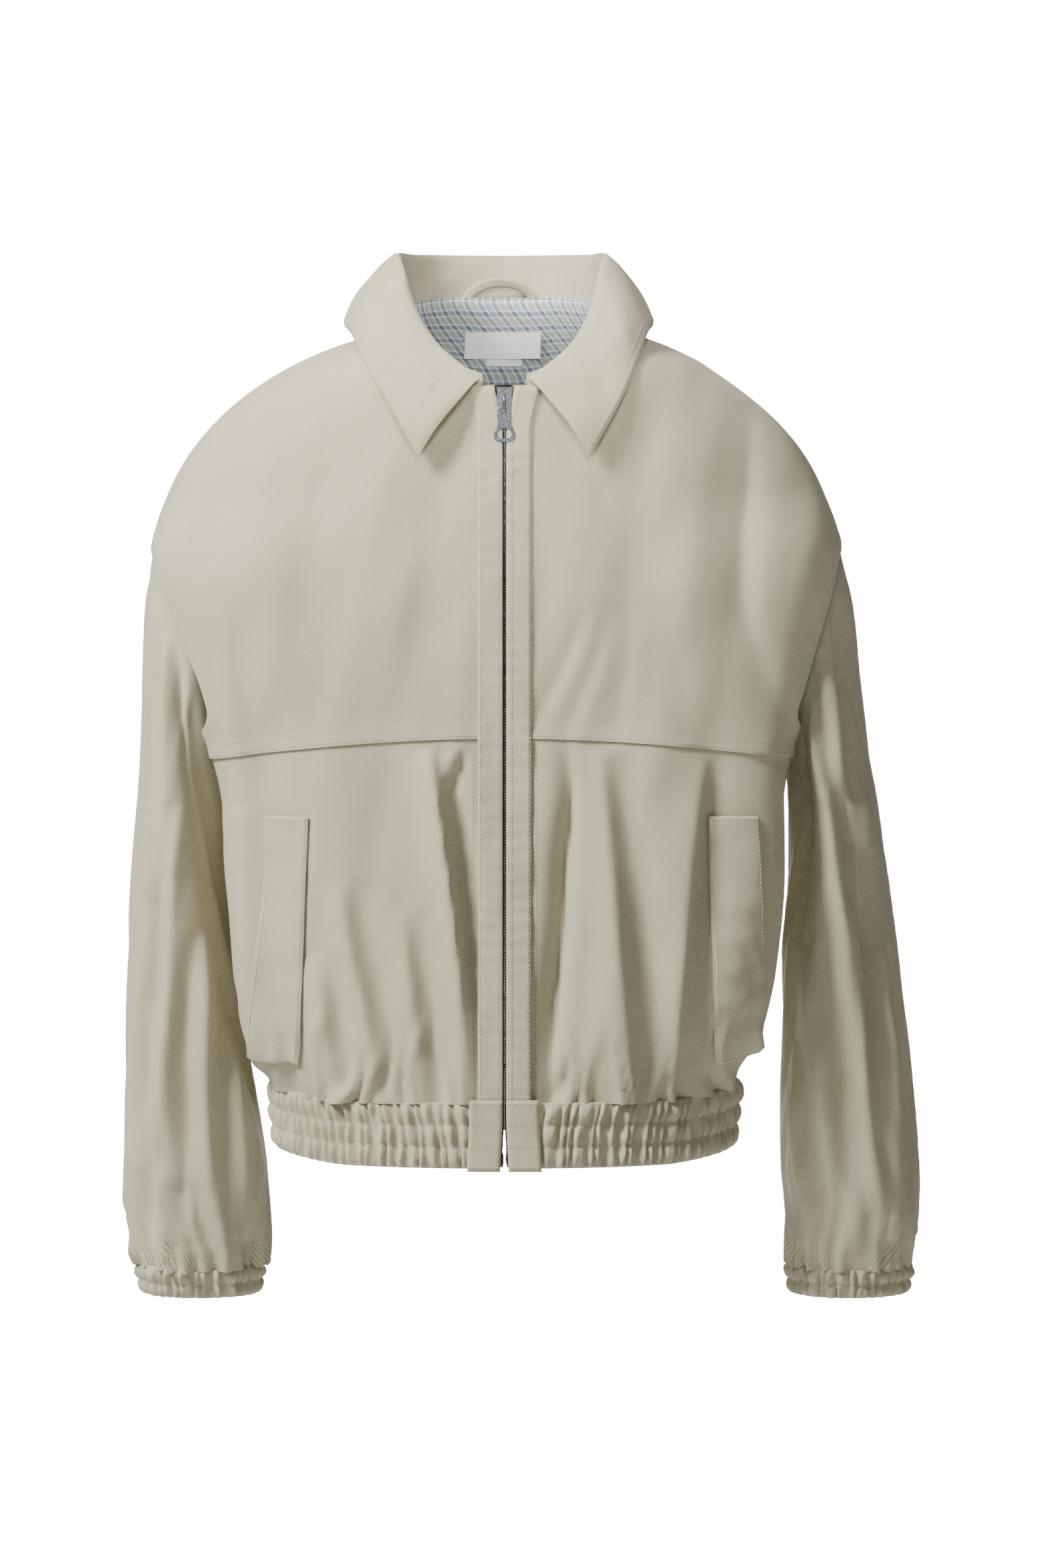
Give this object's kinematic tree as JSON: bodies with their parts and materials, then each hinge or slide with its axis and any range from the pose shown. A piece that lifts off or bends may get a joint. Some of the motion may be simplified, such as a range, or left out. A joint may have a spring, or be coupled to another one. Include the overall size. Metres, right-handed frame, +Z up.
{
  "type": "zip-front blouson jacket",
  "caption": "Zip-front cotton blouson jacket with a pointed collar, yokes, welt pockets, check lining, an elasticated hem band and cuffs, shown worn and closed.",
  "frame": {"origin": "midway between the two high shoulder points, at the neck, where the wearer's shoulders carry the jacket", "axes": "+Z up, the front faces -Y, and +X points to the viewer's right, which is the wearer's left"},
  "size_m": [0.541, 0.2379, 0.7297],
  "materials": {
    "twill": "matt cotton twill, sage beige",
    "check_lining": "yarn-dyed check, white and blue lines on grey green",
    "woven_label": "woven satin ribbon",
    "elastic": "knitted elastic",
    "zip_tape": "woven polyester tape",
    "zip_coil": "dark moulded teeth",
    "gunmetal": "gunmetal plated zinc"
  },
  "bodies": {
    "back": {"back_yoke": "twill", "back_panel": "twill", "back_lining": "check_lining", "neck_facing": "check_lining", "collar_stand": "twill", "collar_leaf": "twill", "hem_band_back": "twill", "hem_elastic_back": "elastic", "neck_label": "woven_label", "size_tab": "woven_label", "front_yoke_side_left": "twill", "front_panel_side_left": "twill", "welt_left": "twill", "pocket_bag_left": "check_lining", "front_yoke_side_right": "twill", "front_panel_side_right": "twill", "welt_right": "twill", "pocket_bag_right": "check_lining"},
    "front_left": {"front_yoke_left": "twill", "front_panel_left": "twill", "placket_left": "twill", "front_lining_left": "check_lining", "hem_tab_left": "twill", "hem_band_left": "twill", "hem_elastic_left": "elastic", "collar_stand_left": "twill", "collar_point_left": "twill", "zip_tape_left": "zip_tape", "zip_coil_left": "zip_coil", "zip_top_stop_left": "gunmetal", "zip_retainer_box": "gunmetal"},
    "front_right": {"front_yoke_right": "twill", "front_panel_right": "twill", "placket_right": "twill", "front_lining_right": "check_lining", "hem_tab_right": "twill", "hem_band_right": "twill", "hem_elastic_right": "elastic", "collar_stand_right": "twill", "collar_point_right": "twill", "zip_tape_right": "zip_tape", "zip_coil_right": "zip_coil", "zip_top_stop_right": "gunmetal", "zip_insertion_pin": "gunmetal"},
    "sleeve_left": {"sleeve_left": "twill", "sleeve_lining_left": "check_lining", "cuff_left": "twill", "cuff_elastic_left": "elastic"},
    "sleeve_right": {"sleeve_right": "twill", "sleeve_lining_right": "check_lining", "cuff_right": "twill", "cuff_elastic_right": "elastic"},
    "slider": {"zip_slider": "gunmetal"},
    "pull": {"zip_pull": "gunmetal"},
    "hang_loop": {"hang_loop": "twill"}
  },
  "joints": [
    {"name": "front_left_open", "type": "hinge", "parent": "back", "child": "front_left", "pos_m": [-0.085, 0, 0], "axis": [0, 1, 0], "range_deg": [0, 7]},
    {"name": "front_right_open", "type": "hinge", "parent": "back", "child": "front_right", "pos_m": [0.085, 0, 0], "axis": [0, -1, 0], "range_deg": [0, 7]},
    {"name": "zip_slide", "type": "slide", "parent": "front_left", "child": "slider", "axis": [0, -0.0537, -0.9986], "range_m": [0, 0.5]},
    {"name": "zip_pull_flip", "type": "hinge", "parent": "slider", "child": "pull", "pos_m": [0, -0.10056, -0.05469], "axis": [-1, 0, 0], "range_deg": [0, 160]},
    {"name": "sleeve_left_lift", "type": "hinge", "parent": "back", "child": "sleeve_left", "pos_m": [-0.246, 0.01, -0.155], "axis": [0, 1, 0], "range_deg": [0, 35], "stiffness_Nm_per_rad": 0.15, "springref_deg": -34.38},
    {"name": "sleeve_right_lift", "type": "hinge", "parent": "back", "child": "sleeve_right", "pos_m": [0.246, 0.01, -0.155], "axis": [0, -1, 0], "range_deg": [0, 35], "stiffness_Nm_per_rad": 0.15, "springref_deg": -34.38},
    {"name": "hang_loop_flip", "type": "hinge", "parent": "back", "child": "hang_loop", "pos_m": [0, 0.0532, 0.001], "axis": [1, 0, 0], "range_deg": [0, 100]}
  ],
  "couplings": [
    {"joint": "front_right_open", "follows": "front_left_open", "ratio": 1},
    {"joint": "zip_slide", "follows": "front_left_open", "m_per_rad": 4.05}
  ]
}
